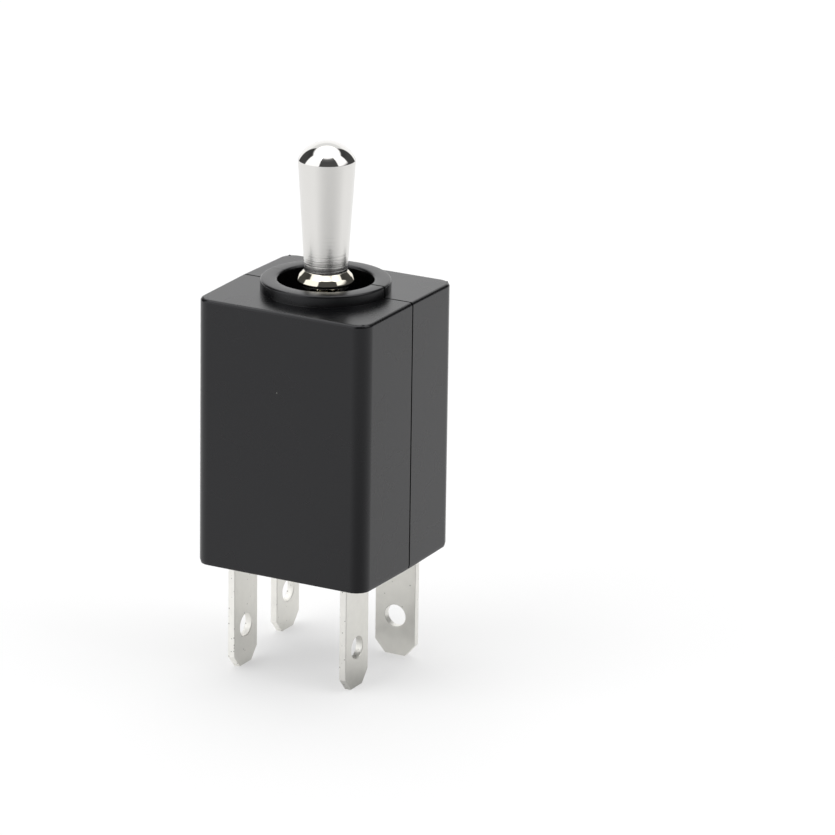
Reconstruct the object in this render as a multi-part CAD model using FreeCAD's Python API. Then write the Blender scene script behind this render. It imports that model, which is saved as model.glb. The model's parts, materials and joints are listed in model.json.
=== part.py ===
import FreeCAD, Part
import math
import os

# Plug-in toggle switch, millimetres.
# Origin: on the axis of the collar, in the plane of the housing's top face.
# +Z runs out along the lever, +X to the right, +Y to the back.

# Housing: two moulded half shells that meet at the parting plane.
body_width = 20.0
body_depth = 19.1
body_height = 28.7
corner_radius = 1.6
mould_draft_deg = 0.5
top_edge_radius = 0.35
foot_edge_chamfer = 0.4
side_wall = 1.0
top_wall = 1.6
inner_corner_radius = 1.0
parting_y = 0.3
parting_groove_width = 0.18
parting_groove_depth = 0.14

# Collar round the lever, half of it on each shell.
collar_outer_radius = 6.73
collar_inner_radius = 4.95
collar_height = 1.2
collar_rim_chamfer = 0.2

# Cup below the collar, with a slot in its floor that the lever passes through.
cup_depth = 2.8
cup_wall = 1.2
cup_floor = 1.2
slot_clearance = 0.3
slot_end_flat = 0.05

# Lever, turned in one piece.
lever_tip_z = 15.65
lever_rim_z = 13.75
lever_rim_radius = 2.96
lever_neck_radius = 2.22
bead_radius = 2.96
bead_land = 0.3
bead_top_z = 1.95
bead_edge_z = 1.15
bead_under_z = -0.2
stem_radius = 1.75
hub_radius = 2.5
hub_half_height = 1.4
tail_radius = 2.1
tail_length = 7.0
tail_chamfer = 0.3
spring_bore_radius = 1.45
spring_bore_roof = 1.8
lever_pivot_z = -6.4
lever_swing_deg = 13.0

# Pins.
lever_pin_radius = 0.8
lever_pin_end_gap = 0.6
rocker_pin_radius = 0.75
pin_running_clearance = 0.05
pin_seat_clearance = 0.02

# Plunger and its spring, in the bore of the lever's tail.
plunger_clearance = 0.07
plunger_guide_length = 1.6
plunger_spigot_radius = 0.75
plunger_spigot_length = 0.9
plunger_nose_radius = 1.0
plunger_reach = 1.2
spring_wire_radius = 0.17
spring_clearance = 0.08
spring_turns = 3.0
spring_wire_sides = 6

# Rocker that carries the bridging contacts.
rocker_pivot_z = -17.6
rocker_swing_deg = 7.0
rocker_width = 4.0
rocker_saddle_height = 3.0
rocker_saddle_half_length = 3.6
rocker_hub_radius = 1.75
rocker_arm_height = 1.5
rocker_end_lip = 0.4
rocker_end_length = 2.4
rocker_side_gap = 0.25
saddle_clearance = 0.1
saddle_lip_radius = 0.5

# Bridging contact strips and their buttons.
bridge_from_side = 5.1
bridge_overhang = 1.0
bridge_width = 1.7
bridge_thickness = 0.35
bridge_end_radius = 0.75
bridge_drop = 1.2
contact_from_end = 2.725
contact_radius = 0.95
moving_contact_height = 0.7
moving_contact_crown = 0.2
moving_contact_land = 0.45
fixed_contact_height = 0.5
contact_closing_gap = 0.06

# Terminal base, held by a bead in a groove round the inside of both shells.
base_recess = 0.2
base_thickness = 3.2
base_fit_gap = 0.05
base_bead_height = 0.5
base_bead_depth = 0.35
base_bead_z = 1.7
base_bead_chamfer = 0.125
pillar_wall = 0.6
post_thickness = 1.75
post_half_width = 1.7

# Blade terminals: tinned strip, four alike below the base.
blade_width = 4.75
blade_thickness = 0.8
blade_drop = 11.5
blade_tip_length = 1.35
blade_tip_inset = 1.2
blade_hole_radius = 1.2
blade_hole_height = 4.3
blade_edge_round = 0.1
blade_bend_radius = 0.3
blade_slot_gap = 0.02
tongue_margin = 0.3

# Centre of each blade, measured in from the case's side face and end face.
front_left_from_side = 3.6
front_left_from_end = 4.0
back_left_from_side = 2.12
back_left_from_end = 3.6
front_right_from_side = 3.1
front_right_from_end = 3.8
back_right_from_side = 3.95
back_right_from_end = 4.45

# Locating pegs on the front shell, sockets in the rear shell.
peg_radius = 0.75
peg_length = 1.5
peg_clearance = 0.06
peg_boss_radius = 1.3
peg_from_side = 3.0
peg_cup_gap = 0.3

# Worked out from the sizes above.
half_width = body_width / 2
half_depth = body_depth / 2
inner_half_width = half_width - side_wall
inner_half_depth = half_depth - side_wall
foot_z = -body_height
bridge_x = half_width - bridge_from_side
contact_y = half_depth - contact_from_end
bridge_half_length = contact_y + bridge_overhang
cup_floor_z = -cup_depth
cup_bottom_z = -cup_depth - cup_floor
peg_x = half_width - peg_from_side
peg_z = cup_bottom_z - peg_cup_gap - peg_boss_radius
tail_bottom_z = lever_pivot_z - tail_length
swing = math.radians(lever_swing_deg)
rock = math.radians(rocker_swing_deg)
nose_centre_z = tail_bottom_z - plunger_reach
plunger_radius = spring_bore_radius - plunger_clearance
bore_roof_z = lever_pivot_z - spring_bore_roof
plunger_top_z = tail_bottom_z + plunger_guide_length
saddle_lowest_z = nose_centre_z - plunger_nose_radius - saddle_clearance
bridge_bottom_z = rocker_pivot_z - bridge_drop
button_drop = bridge_drop + moving_contact_height
fixed_contact_x = bridge_x * math.cos(rock) - button_drop * math.sin(rock)
fixed_contact_z = (rocker_pivot_z - button_drop * math.cos(rock)
                   - (bridge_x + moving_contact_land) * math.sin(rock) - contact_closing_gap)
tongue_top_z = fixed_contact_z - fixed_contact_height
tongue_bottom_z = tongue_top_z - blade_thickness
base_bottom_z = foot_z + base_recess
base_top_z = base_bottom_z + base_thickness
blade_tip_z = foot_z - blade_drop

# Each terminal: its corner of the case, where its blade stands, and the way its
# tongue is bent. A tongue bent along X shows the blade's broad side to the left
# and right, one bent along Y to the front and back.
terminals = {
    "front_left": {"corner": (-1, -1), "bend": (1, 0),
                   "from_side": front_left_from_side, "from_end": front_left_from_end},
    "back_left": {"corner": (-1, 1), "bend": (1, 0),
                  "from_side": back_left_from_side, "from_end": back_left_from_end},
    "front_right": {"corner": (1, -1), "bend": (-1, 0),
                    "from_side": front_right_from_side, "from_end": front_right_from_end},
    "back_right": {"corner": (1, 1), "bend": (0, 1),
                   "from_side": back_right_from_side, "from_end": back_right_from_end},
}

X = FreeCAD.Vector(1, 0, 0)
Y = FreeCAD.Vector(0, 1, 0)
Z = FreeCAD.Vector(0, 0, 1)
REACH = 4 * max(body_width, body_depth, body_height, lever_tip_z + blade_drop)
TOUCH = 1e-6


def point(x, y, z):
    return FreeCAD.Vector(x, y, z)


def block(low, high):
    """Box between two opposite corners."""
    size = [b - a for a, b in zip(low, high)]
    return Part.makeBox(size[0], size[1], size[2], point(*low))


def rod(radius, start, end):
    """Cylinder from one point to another."""
    path = point(*end) - point(*start)
    return Part.makeCylinder(radius, path.Length, point(*start), path)


def edges_where(shape, test):
    """Edges whose two ends both pass the test."""
    return [e for e in shape.Edges if all(test(v.Point) for v in e.Vertexes)]


def round_edges(shape, radius, test):
    return shape.makeFillet(radius, edges_where(shape, test))


def chamfer_edges(shape, size, test):
    return shape.makeChamfer(size, edges_where(shape, test))


def upright_edges(shape):
    """Straight edges that run along Z."""
    found = []
    for edge in shape.Edges:
        ends = [v.Point for v in edge.Vertexes]
        if len(ends) == 2 and abs(ends[0].x - ends[1].x) < TOUCH and abs(ends[0].y - ends[1].y) < TOUCH:
            found.append(edge)
    return found


def prism(low, high, radius):
    """Box with its four upright edges rounded."""
    shape = block(low, high)
    return shape.makeFillet(radius, upright_edges(shape))


def turned(profile):
    """Solid of revolution about Z from a closed wire in the XZ plane."""
    return Part.Face(Part.Wire(profile)).revolve(point(0, 0, 0), Z, 360)


def line(a, b):
    return Part.LineSegment(point(a[0], 0, a[1]), point(b[0], 0, b[1])).toShape()


def arc(a, middle, b):
    ends = [point(p[0], 0, p[1]) for p in (a, middle, b)]
    return Part.Arc(*ends).toShape()


def lines(points):
    return [line(a, b) for a, b in zip(points, points[1:])]


def front_half(gap=0.0):
    return block((-REACH, -REACH, -REACH), (REACH, parting_y - gap, REACH))


def rear_half(gap=0.0):
    return block((-REACH, parting_y + gap, -REACH), (REACH, REACH, REACH))


def drafted_block(inset):
    """Block whose sides lean in towards the front and the back by the mould's draft."""
    lean = math.tan(math.radians(mould_draft_deg))
    side, end = half_width - inset, half_depth - inset
    right = [(side - lean * (end + parting_y), -end), (side, parting_y),
             (side - lean * (end - parting_y), end)]
    left = [(-x, y) for x, y in reversed(right)]
    plan = [point(x, y, foot_z + inset) for x, y in right + left]
    return Part.Face(Part.makePolygon(plan + plan[:1])).extrude(Z * (body_height - 2 * inset))


def case_block(inset):
    """Outside of the closed case without its collar, moved inwards by inset."""
    case = drafted_block(inset)
    corners = [e for e in upright_edges(case) if abs(e.Vertexes[0].Y) > half_depth / 2]
    case = case.makeFillet(corner_radius - inset, corners)
    case = round_edges(case, top_edge_radius - inset, lambda p: p.z > -inset - TOUCH)
    return chamfer_edges(case, foot_edge_chamfer - inset, lambda p: p.z < foot_z + inset + TOUCH)


def housing_envelope():
    """Outside of the closed housing with its collar."""
    collar = rod(collar_outer_radius, (0, 0, -top_wall), (0, 0, collar_height))
    collar = chamfer_edges(collar, collar_rim_chamfer, lambda p: p.z > collar_height - TOUCH)
    return case_block(0).fuse(collar).removeSplitter()


def parting_groove():
    """Fine line round the outside where the two shells meet."""
    half = parting_groove_width / 2
    band = block((-REACH, parting_y - half, -REACH), (REACH, parting_y + half, REACH))
    neck = block((-collar_outer_radius + parting_groove_depth, parting_y - half, -top_wall),
                 (collar_outer_radius - parting_groove_depth, parting_y + half,
                  collar_height - parting_groove_depth))
    return housing_envelope().common(band).cut([case_block(parting_groove_depth), neck])


def inner_space():
    """Room inside the housing, with the groove for the base's bead."""
    room = prism((-inner_half_width, -inner_half_depth, foot_z - side_wall),
                 (inner_half_width, inner_half_depth, -top_wall), inner_corner_radius)
    deep = base_bead_depth + base_fit_gap
    centre = foot_z + base_recess + base_bead_z
    half = base_bead_height / 2 + base_fit_gap
    groove = prism((-inner_half_width - deep, -inner_half_depth - deep, centre - half),
                   (inner_half_width + deep, inner_half_depth + deep, centre + half),
                   inner_corner_radius + deep)
    return room.fuse(groove)


def lever_cup():
    """Solid under the collar that the cup and its slot are cut from."""
    return rod(collar_inner_radius + cup_wall, (0, 0, cup_bottom_z), (0, 0, -top_wall / 2))


def cup_cut():
    """Opening of the collar, the cup, and the slot that lets the stem swing."""
    opening = rod(collar_inner_radius, (0, 0, cup_floor_z), (0, 0, collar_height + top_wall))
    reach = (cup_floor_z - lever_pivot_z) * math.tan(swing) + stem_radius / math.cos(swing)
    half_x = reach + slot_clearance
    half_y = stem_radius + slot_clearance
    slot = prism((-half_x, -half_y, cup_bottom_z - cup_floor), (half_x, half_y, cup_floor_z + cup_floor),
                 half_y - slot_end_flat)
    return opening.fuse(slot)


def pin_cheeks():
    """Ribs that hold the lever's pin, one in front of the hub and one behind."""
    inner = hub_radius + slot_clearance
    half = lever_pin_radius + cup_wall
    bottom = lever_pivot_z - half
    cheeks = []
    for side in (-1, 1):
        ends = sorted([side * inner, side * (half_depth - side_wall / 2)])
        plate = block((-half, ends[0], lever_pivot_z), (half, ends[1], cup_bottom_z + cup_floor / 2))
        nose = rod(half, (0, ends[0], lever_pivot_z), (0, ends[1], lever_pivot_z))
        cheeks.append(plate.fuse(nose).removeSplitter())
    return cheeks


def pin_half_length():
    return inner_half_depth - lever_pin_end_gap


def pin_holes():
    reach = pin_half_length() + pin_seat_clearance
    return rod(lever_pin_radius + pin_seat_clearance, (0, -reach, lever_pivot_z), (0, reach, lever_pivot_z))


def peg_places():
    return [(-peg_x, peg_z), (peg_x, peg_z)]


def shell_half(keep, side):
    """One half shell: walls, cup, cheek and bosses. Side is -1 in front, 1 behind."""
    shell = housing_envelope().cut(inner_space())
    bosses = []
    for x, z in peg_places():
        bosses.append(rod(peg_boss_radius, (x, parting_y, z), (x, side * (half_depth - side_wall / 2), z)))
    shell = shell.fuse([lever_cup()] + pin_cheeks())
    shell = shell.common(keep).fuse(bosses)
    shell = shell.cut([cup_cut(), pin_holes(), parting_groove()])
    return shell


def front_shell():
    shell = shell_half(front_half(), -1)
    pegs = []
    for x, z in peg_places():
        pegs.append(rod(peg_radius, (x, parting_y - peg_length, z), (x, parting_y + peg_length, z)))
    return shell.fuse(pegs).removeSplitter()


def rear_shell():
    shell = shell_half(rear_half(), 1)
    sockets = []
    for x, z in peg_places():
        depth = parting_y + peg_length + 2 * peg_clearance
        sockets.append(rod(peg_radius + peg_clearance, (x, parting_y - peg_length, z), (x, depth, z)))
    return shell.cut(sockets).removeSplitter()


def bat_lever():
    """Domed, tapering lever with a bead, a pivot hub and a bored tail."""
    cap = lever_tip_z - lever_rim_z
    cap_radius = (lever_rim_radius ** 2 + cap ** 2) / (2 * cap)
    cap_angle = math.asin(lever_rim_radius / cap_radius) / 2
    cap_middle = (cap_radius * math.sin(cap_angle), lever_tip_z - cap_radius * (1 - math.cos(cap_angle)))
    hub_top = lever_pivot_z + hub_half_height
    hub_bottom = lever_pivot_z - hub_half_height
    outline = [
        arc((0, lever_tip_z), cap_middle, (lever_rim_radius, lever_rim_z)),
    ]
    outline += lines([
        (lever_rim_radius, lever_rim_z),
        (lever_neck_radius, bead_top_z),
        (bead_radius, bead_edge_z),
        (bead_radius, bead_edge_z - bead_land),
        (stem_radius, bead_under_z),
        (stem_radius, hub_top),
        (hub_radius, hub_top),
        (hub_radius, hub_bottom),
        (tail_radius, hub_bottom),
        (tail_radius, tail_bottom_z + tail_chamfer),
        (tail_radius - tail_chamfer, tail_bottom_z),
        (spring_bore_radius, tail_bottom_z),
        (spring_bore_radius, bore_roof_z),
        (0, bore_roof_z),
        (0, lever_tip_z),
    ])
    lever = turned(outline)
    hole = rod(lever_pin_radius + pin_running_clearance,
               (0, -REACH, lever_pivot_z), (0, REACH, lever_pivot_z))
    return lever.cut(hole)


def pin(radius, half_length, z):
    """Straight pin along Y."""
    return rod(radius, (0, -half_length, z), (0, half_length, z))


def plunger():
    """Round-nosed plunger with a spigot for the spring."""
    nose_half = math.sqrt(0.5) * plunger_nose_radius
    outline = lines([
        (0, plunger_top_z + plunger_spigot_length),
        (plunger_spigot_radius, plunger_top_z + plunger_spigot_length),
        (plunger_spigot_radius, plunger_top_z),
        (plunger_radius, plunger_top_z),
        (plunger_radius, tail_bottom_z),
        (plunger_nose_radius, tail_bottom_z - (plunger_radius - plunger_nose_radius)),
        (plunger_nose_radius, nose_centre_z),
    ])
    outline.append(arc((plunger_nose_radius, nose_centre_z), (nose_half, nose_centre_z - nose_half),
                       (0, nose_centre_z - plunger_nose_radius)))
    outline.append(line((0, nose_centre_z - plunger_nose_radius),
                        (0, plunger_top_z + plunger_spigot_length)))
    return turned(outline)


def plunger_spring():
    """Round-wire compression spring between the bore's roof and the plunger."""
    room = bore_roof_z - plunger_top_z
    coil_radius = spring_bore_radius - spring_clearance - spring_wire_radius
    rise = room - 2 * spring_wire_radius
    low = plunger_top_z + spring_wire_radius
    helix = Part.makeHelix(rise / spring_turns, rise, coil_radius)
    helix.translate(point(0, 0, low))
    first = helix.Edges[0]
    start = first.Vertexes[0].Point
    upward = first.tangentAt(first.FirstParameter).cross(X)
    ring = []
    for step in range(spring_wire_sides + 1):
        angle = 2 * math.pi * step / spring_wire_sides
        ring.append(start + X * (spring_wire_radius * math.cos(angle))
                    + upward * (spring_wire_radius * math.sin(angle)))
    return Part.Wire(helix.Edges).makePipeShell([Part.makePolygon(ring)], True, True)


def saddle_cut():
    """Trough that clears the plunger's nose through the whole swing."""
    reach = lever_pivot_z - nose_centre_z
    along = -reach * math.sin(swing)
    up = lever_pivot_z - reach * math.cos(swing) - rocker_pivot_z
    end_x = abs(along * math.cos(rock) + up * math.sin(rock))
    end_z = up * math.cos(rock) - along * math.sin(rock)
    rise = end_z - (nose_centre_z - rocker_pivot_z)
    path_radius = (end_x ** 2 + rise ** 2) / (2 * rise)
    centre = nose_centre_z + path_radius
    radius = centre - saddle_lowest_z
    return rod(radius, (0, -rocker_width, centre), (0, rocker_width, centre))


def rocker():
    """Moulded see-saw: hub, saddle for the plunger, and a slotted block at each end."""
    half = rocker_width / 2
    top = rocker_pivot_z + rocker_saddle_height
    end_x = bridge_x + rocker_end_length / 2
    arm_top = bridge_bottom_z + bridge_thickness + rocker_arm_height / 2
    arm_low = arm_top - rocker_arm_height
    hub = rod(rocker_hub_radius, (0, -half, rocker_pivot_z), (0, half, rocker_pivot_z))
    saddle = block((-rocker_saddle_half_length, -half, arm_low),
                   (rocker_saddle_half_length, half, top))
    saddle = round_edges(saddle, saddle_lip_radius,
                         lambda p: p.z > top - TOUCH and abs(p.x) > rocker_saddle_half_length - TOUCH)
    saddle = saddle.cut(saddle_cut())
    beam = block((-end_x, -half, arm_low), (end_x, half, arm_top))
    shape = hub.fuse([saddle, beam])
    ends = []
    for side in (-1, 1):
        ends.append(block((side * bridge_x - rocker_end_length / 2, -half, arm_low - rocker_end_lip),
                          (side * bridge_x + rocker_end_length / 2, half, arm_top + rocker_end_lip)))
    shape = shape.fuse(ends).removeSplitter()
    cuts = [rod(rocker_pin_radius + pin_running_clearance, (0, -REACH, rocker_pivot_z),
                (0, REACH, rocker_pivot_z))]
    gap = blade_slot_gap
    for side in (-1, 1):
        cuts.append(block((side * bridge_x - bridge_width / 2 - gap, -REACH, bridge_bottom_z - gap),
                          (side * bridge_x + bridge_width / 2 + gap, REACH,
                           bridge_bottom_z + bridge_thickness + gap)))
    return shape.cut(cuts)


def bridge(side):
    """Springy strip that joins a front terminal to a back one."""
    middle = side * bridge_x
    return prism((middle - bridge_width / 2, -bridge_half_length, bridge_bottom_z),
                 (middle + bridge_width / 2, bridge_half_length, bridge_bottom_z + bridge_thickness),
                 bridge_end_radius)


def moving_contact(x, y):
    """Contact button with a low conical crown, welded under a strip."""
    rim = moving_contact_height - moving_contact_crown
    outline = lines([
        (0, -moving_contact_height),
        (contact_radius - moving_contact_land, -moving_contact_height),
        (contact_radius, -rim),
        (contact_radius, 0),
        (0, 0),
        (0, -moving_contact_height),
    ])
    button = turned(outline)
    button.translate(point(x, y, bridge_bottom_z))
    return button


def fixed_contact(x, y):
    """Flat contact button welded on a terminal's tongue."""
    return rod(contact_radius, (x, y, tongue_top_z), (x, y, fixed_contact_z))


def blade_blank(length):
    """Flat tab in the XZ plane, X across, tip at z 0, with its hole and chamfered tip."""
    half = blade_width / 2
    tip = half - blade_tip_inset
    outline = Part.makePolygon([
        point(-tip, 0, 0), point(tip, 0, 0), point(half, 0, blade_tip_length), point(half, 0, length),
        point(-half, 0, length), point(-half, 0, blade_tip_length), point(-tip, 0, 0)])
    tab = Part.Face(outline).extrude(point(0, blade_thickness, 0))
    tab.translate(point(0, -blade_thickness / 2, 0))
    outer = edges_where(tab, lambda p: p.z < length - TOUCH)
    rims = [e for e in outer if abs(e.Vertexes[0].Point.y - e.Vertexes[1].Point.y) < TOUCH]
    tab = tab.makeChamfer(blade_edge_round, rims)
    hole = rod(blade_hole_radius, (0, -blade_thickness, blade_hole_height),
               (0, blade_thickness, blade_hole_height))
    return tab.cut(hole)


def tongue(reach):
    """Bend and flat tongue, towards -Y, above z 0, as wide as the blade."""
    inside = blade_bend_radius
    outside = blade_bend_radius + blade_thickness
    front = -blade_thickness / 2
    back = blade_thickness / 2
    turn_y = front - inside
    diagonal = math.sqrt(0.5)
    shape = [
        Part.LineSegment(point(0, back, 0), point(0, front, 0)).toShape(),
        Part.Arc(point(0, front, 0), point(0, turn_y + inside * diagonal, inside * diagonal),
                 point(0, turn_y, inside)).toShape(),
        Part.LineSegment(point(0, turn_y, inside), point(0, -reach, inside)).toShape(),
        Part.LineSegment(point(0, -reach, inside), point(0, -reach, outside)).toShape(),
        Part.LineSegment(point(0, -reach, outside), point(0, turn_y, outside)).toShape(),
        Part.Arc(point(0, turn_y, outside), point(0, turn_y + outside * diagonal, outside * diagonal),
                 point(0, back, 0)).toShape(),
    ]
    profile = Part.Face(Part.Wire(shape))
    bent = profile.extrude(point(blade_width, 0, 0))
    bent.translate(point(-blade_width / 2, 0, 0))
    return bent


def blade_place(name):
    """Centre of a terminal's blade."""
    place = terminals[name]
    x = place["corner"][0] * (half_width - place["from_side"])
    y = place["corner"][1] * (half_depth - place["from_end"])
    return x, y


def contact_place(name):
    """Centre of a terminal's fixed contact."""
    side, end = terminals[name]["corner"]
    return side * fixed_contact_x, end * contact_y


def turn_for(bend):
    """Turn about Z that points a tongue made towards -Y along the bend."""
    return math.degrees(math.atan2(bend[1], bend[0])) + 90


def blade(name):
    """Terminal: tab, bend and tongue in one stamped strip."""
    bend = terminals[name]["bend"]
    blade_x, blade_y = blade_place(name)
    x, y = contact_place(name)
    along = abs(x - blade_x) if bend[0] else abs(y - blade_y)
    reach = along + contact_radius + tongue_margin
    bend_z = tongue_bottom_z - blade_bend_radius
    tab = blade_blank(bend_z - blade_tip_z)
    tab.translate(point(0, 0, blade_tip_z))
    top = tongue(reach)
    top.translate(point(0, 0, bend_z))
    shape = tab.fuse(top)
    shape.rotate(point(0, 0, 0), Z, turn_for(bend))
    shape.translate(point(blade_x, blade_y, 0))
    return shape.removeSplitter()


def blade_box(name, grow):
    """Upright box round a terminal's tab, wider than it by grow on each side."""
    x, y = blade_place(name)
    half_thin = blade_thickness / 2 + grow
    half_wide = blade_width / 2 + grow
    half_x, half_y = (half_thin, half_wide) if terminals[name]["bend"][0] else (half_wide, half_thin)
    return (x - half_x, y - half_y), (x + half_x, y + half_y)


def terminal_base():
    """Moulded base: plate with a bead, a pillar round each terminal and two rocker posts."""
    wide = inner_half_width - base_fit_gap
    deep = inner_half_depth - base_fit_gap
    corner = inner_corner_radius - base_fit_gap
    plate = prism((-wide, -deep, base_bottom_z), (wide, deep, base_top_z), corner)
    centre = base_bottom_z + base_bead_z
    half = base_bead_height / 2
    grow = base_bead_depth
    bead = prism((-wide - grow, -deep - grow, centre - half), (wide + grow, deep + grow, centre + half),
                 corner + grow)
    bead = chamfer_edges(bead, base_bead_chamfer, lambda p: p.z > centre + half - TOUCH)
    pillars = []
    slots = []
    pillar_top = tongue_bottom_z - blade_bend_radius
    limit = prism((-wide, -deep, base_bottom_z), (wide, deep, tongue_top_z), corner)
    for name in terminals:
        low, high = blade_box(name, pillar_wall)
        pillar = block((low[0], low[1], base_bottom_z + base_thickness / 2), (high[0], high[1], pillar_top))
        pillars.append(pillar.common(limit))
        low, high = blade_box(name, blade_slot_gap)
        slots.append(block((low[0], low[1], blade_tip_z), (high[0], high[1], tongue_top_z)))
        pillars.append(tongue_rest(name, limit))
    posts = rocker_posts()
    base = plate.fuse([bead] + pillars + posts)
    hole = rod(rocker_pin_radius + pin_seat_clearance,
               (0, -REACH, rocker_pivot_z), (0, REACH, rocker_pivot_z))
    return base.cut(slots + [hole]).removeSplitter()


def tongue_rest(name, limit):
    """Block under a tongue, so that closing the contact can't bend it."""
    bend_x, bend_y = terminals[name]["bend"]
    blade_x, blade_y = blade_place(name)
    x, y = contact_place(name)
    low, high = blade_box(name, 0)
    start = blade_bend_radius + blade_thickness / 2
    if bend_x:
        xs = sorted([blade_x + bend_x * start, x + bend_x * contact_radius])
        ys = [low[1], high[1]]
    else:
        xs = [low[0], high[0]]
        ys = sorted([blade_y + bend_y * start, y + bend_y * contact_radius])
    rest = block((xs[0], ys[0], base_bottom_z + base_thickness / 2), (xs[1], ys[1], tongue_bottom_z))
    return rest.common(limit)


def rocker_posts():
    """Two posts of the base with round heads, one at each side of the rocker."""
    posts = []
    inner = rocker_width / 2 + rocker_side_gap
    for side in (-1, 1):
        ends = sorted([side * inner, side * (inner + post_thickness)])
        stem = block((-post_half_width, ends[0], base_bottom_z + base_thickness / 2),
                     (post_half_width, ends[1], rocker_pivot_z))
        head = rod(post_half_width, (0, ends[0], rocker_pivot_z), (0, ends[1], rocker_pivot_z))
        posts.append(stem.fuse(head).removeSplitter())
    return posts


def parts():
    """Every separate piece of the switch, by name."""
    made = {
        "front_shell": front_shell(),
        "rear_shell": rear_shell(),
        "terminal_base": terminal_base(),
        "bat_lever": bat_lever(),
        "lever_pin": pin(lever_pin_radius, pin_half_length(), lever_pivot_z),
        "plunger": plunger(),
        "plunger_spring": plunger_spring(),
        "rocker": rocker(),
        "rocker_pin": pin(rocker_pin_radius, rocker_width / 2 + rocker_side_gap + post_thickness,
                          rocker_pivot_z),
        "left_bridge": bridge(-1),
        "right_bridge": bridge(1),
    }
    for name in terminals:
        x, y = contact_place(name)
        moving_x = terminals[name]["corner"][0] * bridge_x
        made["moving_contact_" + name] = moving_contact(moving_x, y)
        made["fixed_contact_" + name] = fixed_contact(x, y)
        made["blade_" + name] = blade(name)
    return made


os.makedirs("parts", exist_ok=True)
for part_name, part_shape in parts().items():
    solids = part_shape.Solids
    print(part_name, len(solids), part_shape.isValid(), round(part_shape.Volume, 3))
    piece = solids[0] if len(solids) == 1 else Part.makeCompound(solids)
    piece.exportStep("parts/" + part_name + ".step")
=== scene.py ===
import json
import logging
import math
from collections.abc import Callable, Iterable
from dataclasses import dataclass, field
from enum import Enum

import bmesh
import bpy
from bmesh.types import BMEdge, BMFace, BMVert
from mathutils import Matrix, Vector


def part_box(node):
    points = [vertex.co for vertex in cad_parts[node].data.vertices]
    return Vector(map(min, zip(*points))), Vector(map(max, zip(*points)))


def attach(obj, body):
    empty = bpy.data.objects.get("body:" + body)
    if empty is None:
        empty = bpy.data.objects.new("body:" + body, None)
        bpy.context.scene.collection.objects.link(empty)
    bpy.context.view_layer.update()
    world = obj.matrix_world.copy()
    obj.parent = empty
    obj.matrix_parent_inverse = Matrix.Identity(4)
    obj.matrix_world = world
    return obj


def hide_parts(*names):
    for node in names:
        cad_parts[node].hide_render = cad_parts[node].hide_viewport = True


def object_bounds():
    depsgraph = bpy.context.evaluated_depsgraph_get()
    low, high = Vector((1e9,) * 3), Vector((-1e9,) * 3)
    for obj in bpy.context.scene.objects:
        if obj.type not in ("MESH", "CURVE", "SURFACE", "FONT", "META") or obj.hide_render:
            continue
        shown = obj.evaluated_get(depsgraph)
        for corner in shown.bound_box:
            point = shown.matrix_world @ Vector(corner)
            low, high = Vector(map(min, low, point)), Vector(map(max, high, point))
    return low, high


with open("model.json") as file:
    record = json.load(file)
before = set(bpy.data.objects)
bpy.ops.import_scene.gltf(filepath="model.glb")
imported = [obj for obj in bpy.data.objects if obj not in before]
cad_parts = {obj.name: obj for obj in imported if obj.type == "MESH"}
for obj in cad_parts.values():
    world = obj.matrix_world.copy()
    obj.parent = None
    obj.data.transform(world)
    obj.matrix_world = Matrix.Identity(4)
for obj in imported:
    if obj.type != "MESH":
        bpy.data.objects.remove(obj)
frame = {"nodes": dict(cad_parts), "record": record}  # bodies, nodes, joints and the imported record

MM = 0.001
DEGREE = math.radians(1)
TOUCH = 1e-7  # metres within which two places count as one
SMOOTH_BELOW = 32 * DEGREE
CAD_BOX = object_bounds()
LOG = logging.getLogger("toggle_switch")
Colour = tuple[float, float, float]


class Slot(Enum):
    """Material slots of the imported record."""

    CASE = "black_case"
    BASE = "base_moulding"
    LEVER = "plated_lever"
    BLADE = "tinned_blade"
    PIN = "steel_pin"
    SPRING = "spring_wire"
    NYLON = "nylon"
    BRONZE = "spring_bronze"
    SILVER = "silver_contact"


class Body(Enum):
    """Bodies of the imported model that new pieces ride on."""

    HOUSING = "housing"
    LEVER = "lever"


class Half(Enum):
    """The two mouldings of the case, by the side of the parting plane they lie on."""

    FRONT = -1
    REAR = 1


class Carve(Enum):
    """Ways to combine two forms."""

    JOIN = "UNION"
    CUT = "DIFFERENCE"


# Forms


@dataclass(frozen=True)
class Corner:
    """A corner of a turned profile.

    Args:
        radius: distance from the axis.
        height: height along the axis.
        rounding: radius that the corner is rounded by, or 0 for a sharp one.
    """

    radius: float
    height: float
    rounding: float = 0.0


def arc_points(centre: Vector, radius: float, start: float, end: float, steps: int) -> list[Vector]:
    """Points along an arc in the XZ plane, both ends included, at angles from +X towards +Z."""
    turns = [start + (end - start) * step / steps for step in range(steps + 1)]
    return [centre + radius * Vector((math.cos(turn), 0.0, math.sin(turn))) for turn in turns]


def rounded_path(corners: list[Corner], steps: int) -> list[Vector]:
    """Profile through corners, each rounded by a tangent arc.

    Args:
        corners: the corners in order.
        steps: chords of each rounding.

    Returns:
        Points in the XZ plane.
    """
    places = [Vector((corner.radius, 0.0, corner.height)) for corner in corners]
    path = [places[0]]
    for before, place, after, corner in zip(places, places[1:], places[2:], corners[1:]):
        back, ahead = (before - place).normalized(), (after - place).normalized()
        if corner.rounding == 0.0:
            path.append(place)
            continue
        half_angle = back.angle(ahead) / 2
        centre = place + (back + ahead).normalized() * corner.rounding / math.sin(half_angle)
        first = place + back * corner.rounding / math.tan(half_angle) - centre
        sweep = math.pi - 2 * half_angle
        turn_axis = back.cross(ahead) * -1
        for step in range(steps + 1):
            path.append(centre + Matrix.Rotation(sweep * step / steps, 3, turn_axis) @ first)
    path.append(places[-1])
    return path


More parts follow.
